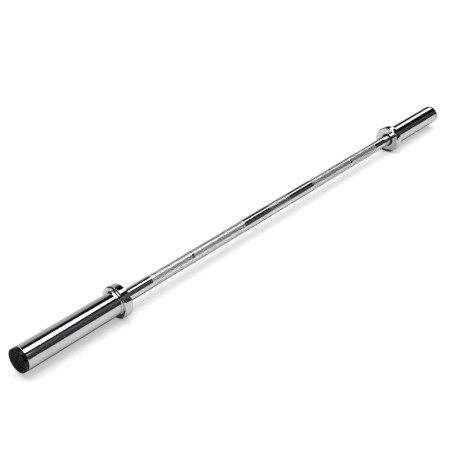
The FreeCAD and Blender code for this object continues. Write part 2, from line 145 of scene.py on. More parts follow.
def blank_material(name: str) -> tuple[Material, NodeTree]:
    """Make a material with an empty node tree.

    Args:
        name: Name of the material.

    Returns:
        The material and its tree.
    """
    material = bpy.data.materials.new(name)
    material.use_nodes = True
    material.node_tree.nodes.clear()
    return material, material.node_tree


@dataclass(frozen=True)
class Nature:
    """What the finishes of one kind of material share.

    Attributes:
        shine_input: Shader input that a finish's shine goes to.
        grain_detail: Detail of the noise of the grain.
        patch_detail: Detail of the noise of the patches.
        patch_levels: Levels of that noise where a patch begins, and where it is full.
        patch_edge: How a patch fades in between them.
    """

    shine_input: str
    grain_detail: float
    patch_detail: float
    patch_levels: tuple[float, float]
    patch_edge: str


class Kind(Enum):
    """Metal with tool marks and patches of haze, or plastic with a moulded grain and rubbed patches."""

    METAL = Nature("Metallic", 2.0, 4.0, (0.35, 0.75), "SMOOTHSTEP")
    PLASTIC = Nature("Specular IOR Level", 3.0, 5.0, (0.48, 0.72), "LINEAR")


@dataclass(frozen=True)
class Finish:
    """A surface with a fine grain, and with patches that differ in colour and roughness.

    Attributes:
        name: Name of the material, from what it is and its process.
        colours: Colour of the clean surface, and in the middle of a patch.
        roughness: Roughness of the clean surface, and in the middle of a patch.
        patch_mm: Size of a patch.
        grain_mm: Width of a grain or a tool mark, along the bar.
        grain_height_mm: Its height.
        grain_run: Its length round the bar, in widths.
        kind: Metal or plastic.
        shine: How far it is metal, or the specular level of plastic.
    """

    name: str
    colours: tuple[str, str]
    roughness: tuple[float, float]
    patch_mm: float
    grain_mm: float
    grain_height_mm: float
    grain_run: float = 1.0
    kind: Kind = Kind.METAL
    shine: float = 1.0

    def make(self) -> Material:
        """Build the material.

        Returns:
            The material, ready for a slot.
        """
        nature = self.kind.value
        material, tree = blank_material(self.name)
        place = add_node(tree, "TexCoord").outputs["Object"]
        along, across = per_metre(self.grain_mm), per_metre(self.grain_mm * self.grain_run)
        stretched = add_node(tree, "Mapping", {"Vector": place, "Scale": (along, across, across)}).outputs[0]
        fine = {"Vector": stretched, "Scale": 1.0, "Detail": nature.grain_detail}
        grain = add_node(tree, "TexNoise", fine).outputs["Fac"]
        coarse = {"Vector": place, "Scale": per_metre(self.patch_mm), "Detail": nature.patch_detail}
        cloud = add_node(tree, "TexNoise", coarse).outputs["Fac"]
        begins, full = nature.patch_levels
        limits = {"Value": cloud, "From Min": begins, "From Max": full}
        patch = add_node(tree, "MapRange", limits, interpolation_type=nature.patch_edge).outputs["Result"]
        (clean, worn), (clean_rough, worn_rough) = map(linear, self.colours), self.roughness
        colour = add_node(tree, "Mix", {"Factor": patch, "A": clean, "B": worn}, data_type="RGBA")
        rough = add_node(tree, "MapRange", {"Value": patch, "To Min": clean_rough, "To Max": worn_rough})
        height = self.grain_height_mm * MM
        relief = add_node(tree, "Bump", {"Strength": 1.0, "Distance": height, "Height": grain})
        inputs = {
            nature.shine_input: self.shine,
            "Base Color": colour.outputs["Result"],
            "Roughness": rough.outputs["Result"],
            "Normal": relief.outputs["Normal"],
        }
        surface = add_node(tree, "BsdfPrincipled", inputs)
        add_node(tree, "OutputMaterial", {"Surface": surface.outputs["BSDF"]})
        return material


@cache
def material_of(finish: Finish) -> Material:
    """Material of a finish, made the first time that it is asked for."""
    return finish.make()


# Hard chrome plate over ground bar stock: a mirror with faint grinding rings round the bar.
PLATED_SHAFT = Finish(
    "hard chrome plate ground", ("#D2D2D1", "#CACAC9"), roughness=(0.03, 0.06),
    patch_mm=30.0, grain_mm=0.4, grain_height_mm=0.0006, grain_run=40.0,
)
# The same plate over rolled knurl: each facet is a small mirror that the rolling left a little matt.
# Its colours are lighter than the plain plate's, which is painted light: it brightens the knurl as a brighter
# softbox would.
KNURLED_SHAFT = Finish(
    "hard chrome plate knurled", ("#E2E2E1", "#D8D8D7"), roughness=(0.28, 0.32),
    patch_mm=12.0, grain_mm=0.3, grain_height_mm=0.001, grain_run=4.0,
)
# Decorative chrome plate over buffed, turned steel: the clearest mirror on the bar.
BRIGHT_CHROME = Finish(
    "bright chrome plate buffed", ("#CDCDCC", "#C6C6C5"), roughness=(0.03, 0.07),
    patch_mm=40.0, grain_mm=0.6, grain_height_mm=0.0005, grain_run=50.0,
)
# Sintered bronze: a grey olive brown with darker patches at its open pores. Both colours are darker than the
# metal is:
# painted shade for the bush's face deep in the collar's bore.
SINTERED_BRONZE = Finish(
    "sintered bronze turned", ("#544D3A", "#2B271F"), roughness=(0.38, 0.58),
    patch_mm=1.2, grain_mm=0.5, grain_height_mm=0.006, grain_run=6.0,
)
# Rolled bronze strip, stamped: warm and smoother than the bush.
STAMPED_BRONZE = Finish(
    "rolled bronze stamped", ("#C19A62", "#9A7444"), roughness=(0.28, 0.43),
    patch_mm=5.0, grain_mm=0.4, grain_height_mm=0.003, grain_run=10.0,
)
# Through-hardened bearing steel, ground: cool grey with fine grinding marks.
GROUND_STEEL = Finish(
    "bearing steel ground", ("#B4B6B8", "#9EA0A2"), roughness=(0.14, 0.24),
    patch_mm=6.0, grain_mm=0.3, grain_height_mm=0.0015, grain_run=20.0,
)
# Pressed steel strip: duller, with drawing marks.
PRESSED_STEEL = Finish(
    "mild steel pressed", ("#A3A4A5", "#87888A"), roughness=(0.3, 0.45),
    patch_mm=8.0, grain_mm=0.6, grain_height_mm=0.004, grain_run=8.0,
)
# Spring steel with a phosphate coat: dark brown grey and nearly matt.
PHOSPHATED_STEEL = Finish(
    "spring steel phosphated", ("#4A4744", "#34322F"), roughness=(0.45, 0.6),
    patch_mm=1.5, grain_mm=0.5, grain_height_mm=0.004, grain_run=3.0,
)
# Moulded PVC end cap: soft black, nearly matt on its grained face.
MOULDED_CAP = Finish(
    "black PVC grained", ("#0C0C0D", "#131314"), roughness=(0.6, 0.48),
    patch_mm=14.0, grain_mm=0.5, grain_height_mm=0.02, kind=Kind.PLASTIC, shine=0.13,
)
# The same PVC where the mould was polished, round the flange.
SMOOTH_CAP = Finish(
    "black PVC smooth", ("#060607", "#0B0B0C"), roughness=(0.2, 0.16),
    patch_mm=14.0, grain_mm=0.5, grain_height_mm=0.003, kind=Kind.PLASTIC, shine=0.2,
)
# The same PVC on the rounded rim, matt, with the deepest black on the cap: painted shade, which darkens the
# ring round the face.
MATT_CAP = Finish(
    "black PVC matt", ("#040405", "#070708"), roughness=(0.7, 0.56),
    patch_mm=14.0, grain_mm=0.5, grain_height_mm=0.006, kind=Kind.PLASTIC, shine=0.02,
)


@dataclass(frozen=True)
class Corner:
    """Corner of a turned outline, in millimetres.

    Attributes:
        x: Station along the bar.
        r: Distance from the axis.
        ease: Radius of the rounding here, or zero for a sharp corner.
    """

    x: float
    r: float
    ease: float = 0.0


@dataclass(frozen=True)
class Ring:
    """Point of a finished outline with the surface's direction on both sides of it.

    Attributes:
        place: Station and radius in millimetres.
        before: Direction that the surface faces where it ends here.
        after: Direction that the surface faces where it goes on.
    """

    place: Vector
    before: Vector
    after: Vector


EASE_STEPS = 6


def facing(start: Vector, end: Vector) -> Vector:
    """Direction that the surface between two outline points faces."""
    along = (end - start).normalized()
    return Vector((-along.y, along.x))


def eased_corner(previous: Vector, corner: Vector, following: Vector, radius: float) -> list[Ring]:
    """Round one corner of an outline.

    Args:
        previous: Outline point before the corner.
        corner: The corner.
        following: Outline point after the corner.
        radius: Radius of the rounding.

    Returns:
        Rings along the arc, which meets both straight runs smoothly.
    """
    back, ahead = (previous - corner).normalized(), (following - corner).normalized()
    half_angle = back.angle(ahead) / 2
    centre = corner + (back + ahead).normalized() * (radius / math.sin(half_angle))
    reach = radius / math.tan(half_angle)
    first = corner + back * reach - centre
    last = corner + ahead * reach - centre
    outward = 1.0 if first.dot(facing(previous, corner)) > 0 else -1.0
    sweep = math.atan2(first.x * last.y - first.y * last.x, first.dot(last))
    rings = []
    for step in range(EASE_STEPS + 1):
        turn = sweep * step / EASE_STEPS
        cos, sin = math.cos(turn), math.sin(turn)
        spoke = Vector((first.x * cos - first.y * sin, first.x * sin + first.y * cos))
        normal = spoke.normalized() * outward
        rings.append(Ring(centre + spoke, normal, normal))
    return rings


def outline_rings(corners: Sequence[Corner], closed: bool = False) -> list[Ring]:
    """Turn corners into rings, with the solid on the right of the way along them.

    Args:
        corners: Corners in order.
        closed: Whether the last corner joins the first.

    Returns:
        The rings in order, the first one repeated at the end of a closed outline.
    """
    points = [Vector((c.x, c.r)) for c in corners]
    count = len(points)
    rings: list[Ring] = []
    for index, corner in enumerate(corners):
        here = points[index]
        has_before, has_after = closed or index > 0, closed or index < count - 1
        previous, following = points[index - 1], points[(index + 1) % count]
        if corner.ease and has_before and has_after:
            rings += eased_corner(previous, here, following, corner.ease)
            continue
        before = facing(previous, here) if has_before else facing(here, following)
        after = facing(here, following) if has_after else before
        rings.append(Ring(here, before, after))
    return [*rings, rings[0]] if closed else rings


class TurnedMesh:
    """Collects the rings and faces of one turned piece, drawn for the right end in millimetres."""

    def __init__(self, name: str, segments: int) -> None:
        """Start an empty mesh.

        Args:
            name: Name of the piece.
            segments: Faces round the bar.
        """
        self.name = name
        self.segments = segments
        self.points: list[Point] = []
        self.faces: list[tuple[int, ...]] = []
        self.skins: list[Skin] = []
        self.slots: list[int] = []
        self.normals: list[Point] = []

    def spoke(self, step: float) -> tuple[float, float]:
        """Cosine and sine of a step round the bar."""
        angle = 2 * math.pi * (step % self.segments) / self.segments
        return math.cos(angle), math.sin(angle)

    def add_point(self, x: float, radius: float, step: float) -> int:
        """Add one point.

        Args:
            x: Station in millimetres.
            radius: Distance from the axis.
            step: Place round the bar, in segments.

        Returns:
            Index of the point.
        """
        across, up = self.spoke(step)
        self.points.append((x, radius * across, radius * up))
        return len(self.points) - 1

    def add_ring(self, x: float, radii: float | Sequence[float]) -> list[int]:
        """Add the points of one ring.

        Args:
            x: Station in millimetres.
            radii: One radius, or one for each step round the bar.

        Returns:
            Indices of the points, or of the one point on the axis.
        """
        if radii == 0.0:
            return [self.add_point(x, 0.0, 0)]
        steps = range(self.segments)
        return [self.add_point(x, radii if isinstance(radii, float) else radii[step], step) for step in steps]

    def add_face(
        self, corners: Sequence[int], skin: Skin, normals: Sequence[Point] | None = None, slot: int = 0
    ) -> None:
        """Add one face.

        Args:
            corners: Point indices, anticlockwise from outside.
            skin: How the face takes the light.
            normals: Surface direction at each corner of a turned face.
            slot: Material slot of the face.
        """
        self.faces.append(tuple(corners))
        self.skins.append(skin)
        self.slots.append(slot)
        self.normals += normals or [(0.0, 0.0, 0.0)] * len(corners)

    def add_band(
        self,
        start: Sequence[int],
        end: Sequence[int],
        start_facing: Vector,
        end_facing: Vector,
        slot: int = 0,
    ) -> None:
        """Join two rings with smooth faces.

        Args:
            start: Points of the first ring.
            end: Points of the second ring.
            start_facing: Direction that the surface faces at the first ring.
            end_facing: Direction that the surface faces at the second ring.
            slot: Material slot of the faces.
        """
        for step in range(self.segments):
            corners, normals = [], []
            for ring, normal, at in (
                (start, start_facing, step),
                (start, start_facing, step + 1),
                (end, end_facing, step + 1),
                (end, end_facing, step),
            ):
                index = ring[at % len(ring)]
                if index in corners:
                    continue
                across, up = self.spoke(at)
                corners.append(index)
                normals.append((normal.x, normal.y * across, normal.y * up))
            self.add_face(corners, Skin.TURNED, normals, slot)

    def add_outline(
        self, rings: Sequence[Ring], slot: int = 0, begin: list[int] | None = None
    ) -> tuple[list[int], list[int]]:
        """Turn a run of rings about the bar's axis.

        Args:
            rings: Rings in order; a closed outline ends on its first ring.
            slot: Material slot of the faces.
            begin: Points of the first ring, where it is there already.

        Returns:
            Points of the first and the last ring.
        """
        first = last = begin or self.add_ring(*rings[0].place)
        for here, following in zip(rings, rings[1:]):
            closing = following is rings[0]
            points = first if closing else self.add_ring(*following.place)
            self.add_band(last, points, here.after, following.before, slot)
            last = points
        return first, last

    def build(self, side: Side, materials: Sequence[Material]) -> Object:
        """Make the object, turned round for the left end.

        Args:
            side: End of the bar that the piece belongs to.
            materials: Materials of the slots.

        Returns:
            The object, linked to the scene.
        """
        way = side.value
        mesh = bpy.data.meshes.new(self.name)
        mesh.from_pydata([(x * way * MM, y * way * MM, z * MM) for x, y, z in self.points], [], self.faces)
        for material in materials:
            mesh.materials.append(material)
        mesh.polygons.foreach_set("material_index", self.slots)
        mesh.polygons.foreach_set("use_smooth", [skin is Skin.TURNED for skin in self.skins])
        mesh.normals_split_custom_set([(x * way, y * way, z) for x, y, z in self.normals])
        mesh.update()
        piece = bpy.data.objects.new(self.name, mesh)
        bpy.context.scene.collection.objects.link(piece)
        return piece


def box_mm(node: str) -> tuple[Vector, Vector]:
    """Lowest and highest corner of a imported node, in millimetres."""
    low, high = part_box(node)
    return Vector(low) / MM, Vector(high) / MM


def settle(piece: Object, body: str, node: str) -> None:
    """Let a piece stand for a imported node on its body.

    Args:
        piece: The new piece.
        body: Body that carries it.
        node: Node that it replaces.
    """
    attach(piece, body)
    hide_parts(node)
    log.info("%s: %d faces on %s, for %s", piece.name, len(piece.data.polygons), body, node)


@dataclass(frozen=True)
class Knurl:
    """Diamond knurl, rolled into the shaft as crossing grooves.

    Attributes:
        count: Diamonds round the shaft, a little fewer than a real knurl has.
        half_angle: Half of a diamond's angle at its ends along the bar, in degrees.
        root_r: Radius at the bottom of the grooves.
        crest_r: Radius of the ridges between them.
        ridge: Length of a diamond's ridge, which runs round the bar, against its width.
    """

    count: int
    half_angle: float
    root_r: float
    crest_r: float
    ridge: float

    # Rows and steps from a diamond's middle to its corners, anticlockwise from outside.
    CORNERS = ((0, 1), (1, 0), (0, -1), (-1, 0))

    def row_pitch(self) -> float:
        """Half of a diamond's length along the bar."""
        half_width = math.pi * self.crest_r / self.count
        return half_width / math.tan(math.radians(self.half_angle))

    def roll(self, mesh: TurnedMesh, start: float, end: float, slot: int) -> tuple[list[int], list[int]]:
        """Add one knurled band to a mesh whose segments are twice the count.

        Args:
            mesh: Mesh that gets the band.
            start: Station where the band begins.
            end: Station where it ends.
            slot: Material slot of the faces.

        Returns:
            Points of the first and the last row, which lie in the grooves.
        """
        rows = round((end - start) / self.row_pitch())
        pitch = (end - start) / rows
        steps = range(mesh.segments)
        roots = {
            (row, step): mesh.add_point(start + pitch * row, self.root_r, step)
            for row in range(rows + 1)
            for step in steps
            if (row + step) % 2 == 1 or row in (0, rows)
        }
        for row in range(rows + 1):
            for step in steps:
                if (row + step) % 2 == 1:
                    continue
                corners = [
                    roots.get((row + down, (step + across) % mesh.segments)) for down, across in self.CORNERS
                ]
                if row in (0, rows):
                    self.add_half(mesh, roots[row, step], corners, slot)
                else:
                    self.add_diamond(mesh, (start + pitch * row, step), corners, slot)
        return [roots[0, step] for step in steps], [roots[rows, step] for step in steps]

    def add_diamond(
        self, mesh: TurnedMesh, middle: tuple[float, int], corners: Sequence[int], slot: int
    ) -> None:
        """Add one diamond, shaped like a hipped roof.

        Args:
            mesh: Mesh that gets the diamond.
            middle: Station of its middle, and its step round the bar.
            corners: Points at the bottom of the grooves.
            slot: Material slot of the faces.
        """
        x, step = middle
        high, low = (mesh.add_point(x, self.crest_r, step + way * self.ridge) for way in (1, -1))
        left, front, right, back = corners
        for face in (
            (front, low, high),
            (back, high, low),
            (left, front, high),
            (front, right, low),
            (right, back, low),
            (back, left, high),
        ):
            mesh.add_face(face, Skin.FACETED, slot=slot)

    def add_half(self, mesh: TurnedMesh, middle: int, corners: Sequence[int | None], slot: int) -> None:
        """Fill half a diamond at the end of a band, level with the grooves.

        Args:
            mesh: Mesh that gets the faces.
            middle: Point in the middle of the diamond's end.
            corners: Points at the bottom of the grooves, none beyond the band.
            slot: Material slot of the faces.
        """
        for here, after in zip(corners, [*corners[1:], corners[0]]):
            if here is not None and after is not None:
                mesh.add_face((middle, here, after), Skin.FACETED, slot=slot)


@dataclass
class Shaft:
    """Solid steel shaft with two knurled grips and a softer knurl in the middle, in millimetres."""

    radius: float = 14.0
    # Stations of the centre knurl, a grip and the ring mark in it, and the slope at a knurled band's end.
    centre_knurl_end: float = 39.5
    grip_start: float = 134.5
    mark_start: float = 306.5
    mark_end: float = 311.5
    grip_end: float = 432.5
    runout: float = 0.5
    # Groove of the snap ring, and chamfer on the shaft's ends.
    groove_start: float = 718.25
    groove_end: float = 719.85
    groove_r: float = 13.3
    end_chamfer: float = 1.5
    grip_knurl: Knurl = Knurl(count=56, half_angle=33.0, root_r=13.6, crest_r=14.0, ridge=0.55)
    centre_knurl: Knurl = Knurl(count=56, half_angle=33.0, root_r=13.95, crest_r=14.0, ridge=0.3)

    PLAIN_SLOT = 0
    KNURL_SLOT = 1

    def bands(self) -> list[tuple[float, float, Knurl]]:
        """List the knurled bands.

        Returns:
            Stations and knurl of each band, from the left end to the right.
        """
        right = [
            (self.grip_start, self.mark_start - self.runout, self.grip_knurl),
            (self.mark_end + self.runout, self.grip_end, self.grip_knurl),
        ]
        left = [(-end, -start, knurl) for start, end, knurl in reversed(right)]
        return [*left, (-self.centre_knurl_end, self.centre_knurl_end, self.centre_knurl), *right]

    def end_corners(self, end: float) -> list[Corner]:
        """Corners of the right end beyond the last knurled band, out to the axis."""
        return [
            Corner(self.groove_start, self.radius),
            Corner(self.groove_start, self.groove_r),
            Corner(self.groove_end, self.groove_r),
            Corner(self.groove_end, self.radius),
            Corner(end - self.end_chamfer, self.radius),
            Corner(end, self.radius - self.end_chamfer),
            Corner(end, 0.0),
        ]

    def build(self) -> None:
        """Build the shaft from its left end to its right end."""
        right_end = self.end_corners(box_mm("shaft")[1].x)
        mesh = TurnedMesh("knurled_shaft", 2 * self.grip_knurl.count)
        plain = [Corner(-corner.x, corner.r) for corner in reversed(right_end)]
        runs = []
        for start, stop, knurl in self.bands():
            plain.append(Corner(start - self.runout, self.radius))
            runs.append(mesh.add_outline(outline_rings(plain), self.PLAIN_SLOT))
            runs.append(knurl.roll(mesh, start, stop, self.KNURL_SLOT))
            plain = [Corner(stop + self.runout, self.radius)]
        runs.append(mesh.add_outline(outline_rings([*plain, *right_end]), self.PLAIN_SLOT))
        for (_, last), (first, _) in zip(runs, runs[1:]):
            self.add_runout(mesh, last, first)
        # The knurl's chrome is lighter than the plain plate's: painted light.
        materials = [material_of(PLATED_SHAFT), material_of(KNURLED_SHAFT)]
        settle(mesh.build(Side.RIGHT, materials), "shaft", "shaft")

    def add_runout(self, mesh: TurnedMesh, start: Sequence[int], end: Sequence[int]) -> None:
        """Join a knurled band and the plain shaft with a short slope.

        Args:
            mesh: Mesh of the shaft.
            start: Points at the left of the slope.
            end: Points at the right of the slope.
        """
        ends = [mesh.points[ring[0]] for ring in (start, end)]
        slope = facing(*(Vector((x, math.hypot(y, z))) for x, y, z in ends))
        mesh.add_band(start, end, slope, slope, self.PLAIN_SLOT)


@dataclass(frozen=True)
class CapFace:
    """Waffle of small pockets moulded into the face of an end cap.

    Attributes:
        pitch: Distance from one pocket to the next.
        rib: Width of the rib between two pockets.
        depth: Depth of a pocket.
        draft: Width of a pocket's floor against its mouth.
        reach: Radius that the pockets keep within.
        least_cell: How far inside that radius a pocket's middle lies at least.
    """

    pitch: float = 5.0
    rib: float = 1.6
    depth: float = 2.4
    draft: float = 0.86
    reach: float = 21.8
    least_cell: float = 0.8

    # Points of the face that are closer than this are one point.
    WELD = 1e-6

    def pockets(self) -> list[list[Vector]]:
        """Mouths of the pockets, each with four corners anticlockwise.

        Returns:
            Corners of each pocket, those beyond the reach drawn in to it.
        """
        half = (self.pitch - self.rib) / 2
        span = math.ceil(self.reach / self.pitch)
        mouths = []
        for column in range(-span, span):
            for row in range(-span, span):
                middle = Vector((column + 0.5, row + 0.5)) * self.pitch
                if middle.length > self.reach - self.least_cell:
                    continue
                corners = [middle + Vector(c) * half for c in SQUARE]
                mouths.append([c * min(1.0, self.reach / c.length) for c in corners])
        return mouths

    def add_to(self, mesh: TurnedMesh, rim: Sequence[int]) -> None:
        """Close a cap's open end with the waffle.

        Args:
            mesh: Mesh of the cap.
            rim: Points round the open end.
        """
        x = mesh.points[rim[0]][0]
        mouths = self.pockets()
        flat = [Vector(mesh.points[index][1:]) for index in rim]
        edges = [(step, (step + 1) % len(rim)) for step in range(len(rim))]
        cells = []
        for mouth in mouths:
            cells.append(list(range(len(flat), len(flat) + len(mouth))))
            flat += mouth
        spots, _, triangles, sources, _, owners = delaunay_2d_cdt(flat, edges, cells, 0, self.WELD)
        surface = []
        for spot, source in zip(spots, sources):
            on_rim = [index for index in source if index < len(rim)]
            if on_rim:
                surface.append(rim[on_rim[0]])
            else:
                surface.append(len(mesh.points))
                mesh.points.append((x, spot.x, spot.y))
        floors: dict[tuple[int, int], int] = {}
        ways: dict[tuple[int, int], int] = {}
        for triangle, owner in zip(triangles, owners):
            if not owner:
                mesh.add_face([surface[i] for i in triangle], Skin.FACETED)
                continue
            pocket = owner[0]
            middle = sum(mouths[pocket], Vector((0.0, 0.0))) / len(mouths[pocket])
            for start, end in zip(triangle, [*triangle[1:], triangle[0]]):
                ways[start, end] = pocket
                if (pocket, start) not in floors:
                    floors[pocket, start] = len(mesh.points)
                    spot = middle + (spots[start] - middle) * self.draft
                    mesh.points.append((x - self.depth, spot.x, spot.y))
            mesh.add_face([floors[pocket, i] for i in triangle], Skin.FACETED)
        for (start, end), pocket in ways.items():
            # An edge whose other side isn't in the same pocket gets a wall from its mouth to its floor.
            if ways.get((end, start)) != pocket:
                wall = (surface[start], surface[end], floors[pocket, end], floors[pocket, start])
                mesh.add_face(wall, Skin.FACETED)


@dataclass
class Sleeve:
    """Spinning sleeve of one end: plate tube, plate stop and end cap, in millimetres."""

    side: Side
    # Faces round the sleeve, and the small rounding that buffing leaves on a chromed edge.
    segments: int = 160
    edge: float = 0.25
    # Tube: outer radius, radius inside the collar, and chamfer at its end.
    tube_r: float = 25.0
    spigot_r: float = 23.0
    tube_chamfer: float = 0.8
    # Its bores: at bush and bearing, between them, at washers and cap, and in the bore ring's groove.
    seat_r: float = 17.5
    bore_r: float = 15.0
    washer_bore_r: float = 18.7
    groove_r: float = 19.6
    # Stations where these bores change.
    bush_end: float = 556.0
    cup_start: float = 695.8
    washer_seat: float = 716.0
    groove_start: float = 722.05
    groove_end: float = 723.65
    # Plate stop: stations of its plate face and of its end on the tube, and the hollow between them.
    plate_x: float = 530.0
    shoulder_x: float = 533.5
    collar_fillet: float = 3.0
    # Its chamfer on the plates' side, the rounding of that one's edges, and its chamfer on the grip's side.
    plate_chamfer: float = 2.5
    plate_edge: float = 0.8
    grip_chamfer: float = 2.0
    # Its hole round the shaft, and its socket for the tube.
    collar_bore_r: float = 16.75
    collar_bore_chamfer: float = 1.2
    socket_r: float = 23.02
    # Cap: rounding of its rim, and radius where the waffle's border meets that rim.
    cap_round: float = 1.4
    cap_face_r: float = 22.0
    # Its plug, the crush ribs on it, whose width counts in steps round the bar, and their gap to the bore.
    plug_r: float = 18.2
    plug_wall: float = 3.0
    rib_count: int = 8
    rib_steps: int = 3
    rib_gap: float = 0.02
    face: CapFace = CapFace()

    FLANGE_SLOT = 1
    RIM_SLOT = 2

    def span(self, piece: str) -> tuple[float, float, float]:
        """Inner station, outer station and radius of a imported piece, in millimetres."""
        low, high = box_mm(self.side.named(piece))
        return *sorted((abs(low.x), abs(high.x))), high.z

    def build(self) -> None:
        """Build the three visible pieces."""
        self.build_tube()
        self.build_collar()
        self.build_cap()

    def build_tube(self) -> None:
        """Build the chromed tube with its bores."""
        start, end, _ = self.span("sleeve_tube")
        corners = [
            Corner(start, self.seat_r),
            Corner(start, self.spigot_r),
            Corner(self.shoulder_x, self.spigot_r),
            Corner(self.shoulder_x, self.tube_r, self.edge / 2),
            Corner(end - self.tube_chamfer, self.tube_r, self.edge),
            Corner(end, self.tube_r - self.tube_chamfer, self.edge),
            Corner(end, self.washer_bore_r),
            Corner(self.groove_end, self.washer_bore_r),
            Corner(self.groove_end, self.groove_r),
            Corner(self.groove_start, self.groove_r),
            Corner(self.groove_start, self.washer_bore_r),
            Corner(self.washer_seat, self.washer_bore_r),
            Corner(self.washer_seat, self.seat_r),
            Corner(self.cup_start, self.seat_r),
            Corner(self.cup_start, self.bore_r),
            Corner(self.bush_end, self.bore_r),
            Corner(self.bush_end, self.seat_r),
        ]
        self.turn_chrome("chromed_tube", corners, "sleeve_tube")

    def build_collar(self) -> None:
        """Build the plate stop."""
        start, _, radius = self.span("collar")
        web_end = self.span("sleeve_tube")[0]
        corners = [
            Corner(start + self.collar_bore_chamfer, self.collar_bore_r),
            Corner(start, self.collar_bore_r + self.collar_bore_chamfer, self.edge),
            Corner(start, radius - self.grip_chamfer, self.edge),
            Corner(start + self.grip_chamfer, radius, self.edge),
            Corner(self.plate_x - self.plate_chamfer, radius, self.plate_edge),
            Corner(self.plate_x, radius - self.plate_chamfer, self.plate_edge),
            Corner(self.plate_x, self.tube_r, self.collar_fillet),
            Corner(self.shoulder_x, self.tube_r, self.edge / 2),
            Corner(self.shoulder_x, self.socket_r),
            Corner(web_end, self.socket_r),
            Corner(web_end, self.collar_bore_r),
        ]
        self.turn_chrome("plate_stop", corners, "collar")

    def turn_chrome(self, name: str, corners: Sequence[Corner], node: str) -> None:
        """Turn one chromed piece from its closed outline.

        Args:
            name: Name of the piece at this end.
            corners: Its outline.
            node: Node of this end that it replaces.
        """
        mesh = TurnedMesh(self.side.named(name), self.segments)
        mesh.add_outline(outline_rings(corners, closed=True))
        piece = mesh.build(self.side, [material_of(BRIGHT_CHROME)])
        settle(piece, self.side.named("sleeve"), self.side.named(node))

    def plug_radii(self) -> list[float]:
        """Radius of the plug at each step round the bar, with its crush ribs."""
        spacing, rib_r = self.segments // self.rib_count, self.washer_bore_r - self.rib_gap
        return [rib_r if step % spacing < self.rib_steps else self.plug_r for step in range(self.segments)]

    def build_cap(self) -> None:
        """Build the moulded end cap with its waffle face."""
        start, end, radius = self.span("end_cap")
        back = self.span("sleeve_tube")[1]
        cavity_r = self.plug_r - self.plug_wall
        mesh = TurnedMesh(self.side.named("moulded_cap"), self.segments)
        hollow = outline_rings([Corner(back, 0.0), Corner(back, cavity_r), Corner(start, cavity_r)])
        _, lip = mesh.add_outline(hollow)
        ribbed = self.plug_radii()
        plug_start, plug_end = mesh.add_ring(start, ribbed), mesh.add_ring(back, ribbed)
        flange = outline_rings(
            [
                Corner(back, radius, self.edge),
                Corner(end, radius, self.cap_round),
                Corner(end, self.cap_face_r),
            ]
        )
        rim_start = EASE_STEPS + 1
        flange_start, shoulder = mesh.add_outline(flange[: rim_start + 1], self.FLANGE_SLOT)
        # The rounded rim gets the darkest black: painted shade round the face.
        _, rim = mesh.add_outline(flange[rim_start:], self.RIM_SLOT, shoulder)
        for near, far in ((lip, plug_start), (plug_start, plug_end), (plug_end, flange_start)):
            for step in range(self.segments):
                following = (step + 1) % self.segments
                mesh.add_face((near[step], near[following], far[following], far[step]), Skin.FACETED)
        self.face.add_to(mesh, rim)
        finishes = (MOULDED_CAP, SMOOTH_CAP, MATT_CAP)
        piece = mesh.build(self.side, [material_of(finish) for finish in finishes])
        settle(piece, self.side.named("sleeve"), self.side.named("end_cap"))


class InnerPieces:
    """Bearings, washers and rings inside the sleeves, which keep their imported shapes."""

    # Finish of each slot in the record.
    SLOT_FINISHES = {
        "shaft_chrome": PLATED_SHAFT,
        "polished_chrome": BRIGHT_CHROME,
        # The bush's bronze is darkened: painted shade for its place deep in the collar's bore.
        "bronze": SINTERED_BRONZE,
        "washer_bronze": STAMPED_BRONZE,
        "bearing_steel": GROUND_STEEL,
        "cage_steel": PRESSED_STEEL,
        "spring_steel": PHOSPHATED_STEEL,
        "cap_plastic": MOULDED_CAP,
    }

    def dress(self) -> None:
        """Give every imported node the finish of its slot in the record."""
        for subpart in frame["record"]["subparts"]:
            finish = self.SLOT_FINISHES[subpart["material_slot"]]
            packed = frame["nodes"][subpart["node"]]
            packed.data.materials.clear()
            packed.data.materials.append(material_of(finish))
            log.info("%s: %s", subpart["node"], finish.name)


def ray_kinds(tree: NodeTree) -> tuple[NodeSocket, NodeSocket]:
    """Tell apart what the camera and mirrors see.

    Args:
        tree: Node tree that asks.

    Returns:
        Whether a ray comes from the camera, also through glass, and whether it comes from a mirror.
    """
    rays = add_node(tree, "LightPath").outputs
    straight = {0: rays["Is Camera Ray"], 1: rays["Is Transmission Ray"]}
    return add_node(tree, "Math", straight, operation="MAXIMUM").outputs[0], rays["Is Glossy Ray"]


def strip_corners(span: tuple[float, float], edges: Pairs) -> list[Point]:
    """Corners of a strip along the bar, from the stations of its ends and its edges seen along the bar."""
    (left, right), (low, high) = span, edges
    return [(left, *low), (right, *low), (right, *high), (left, *high)]


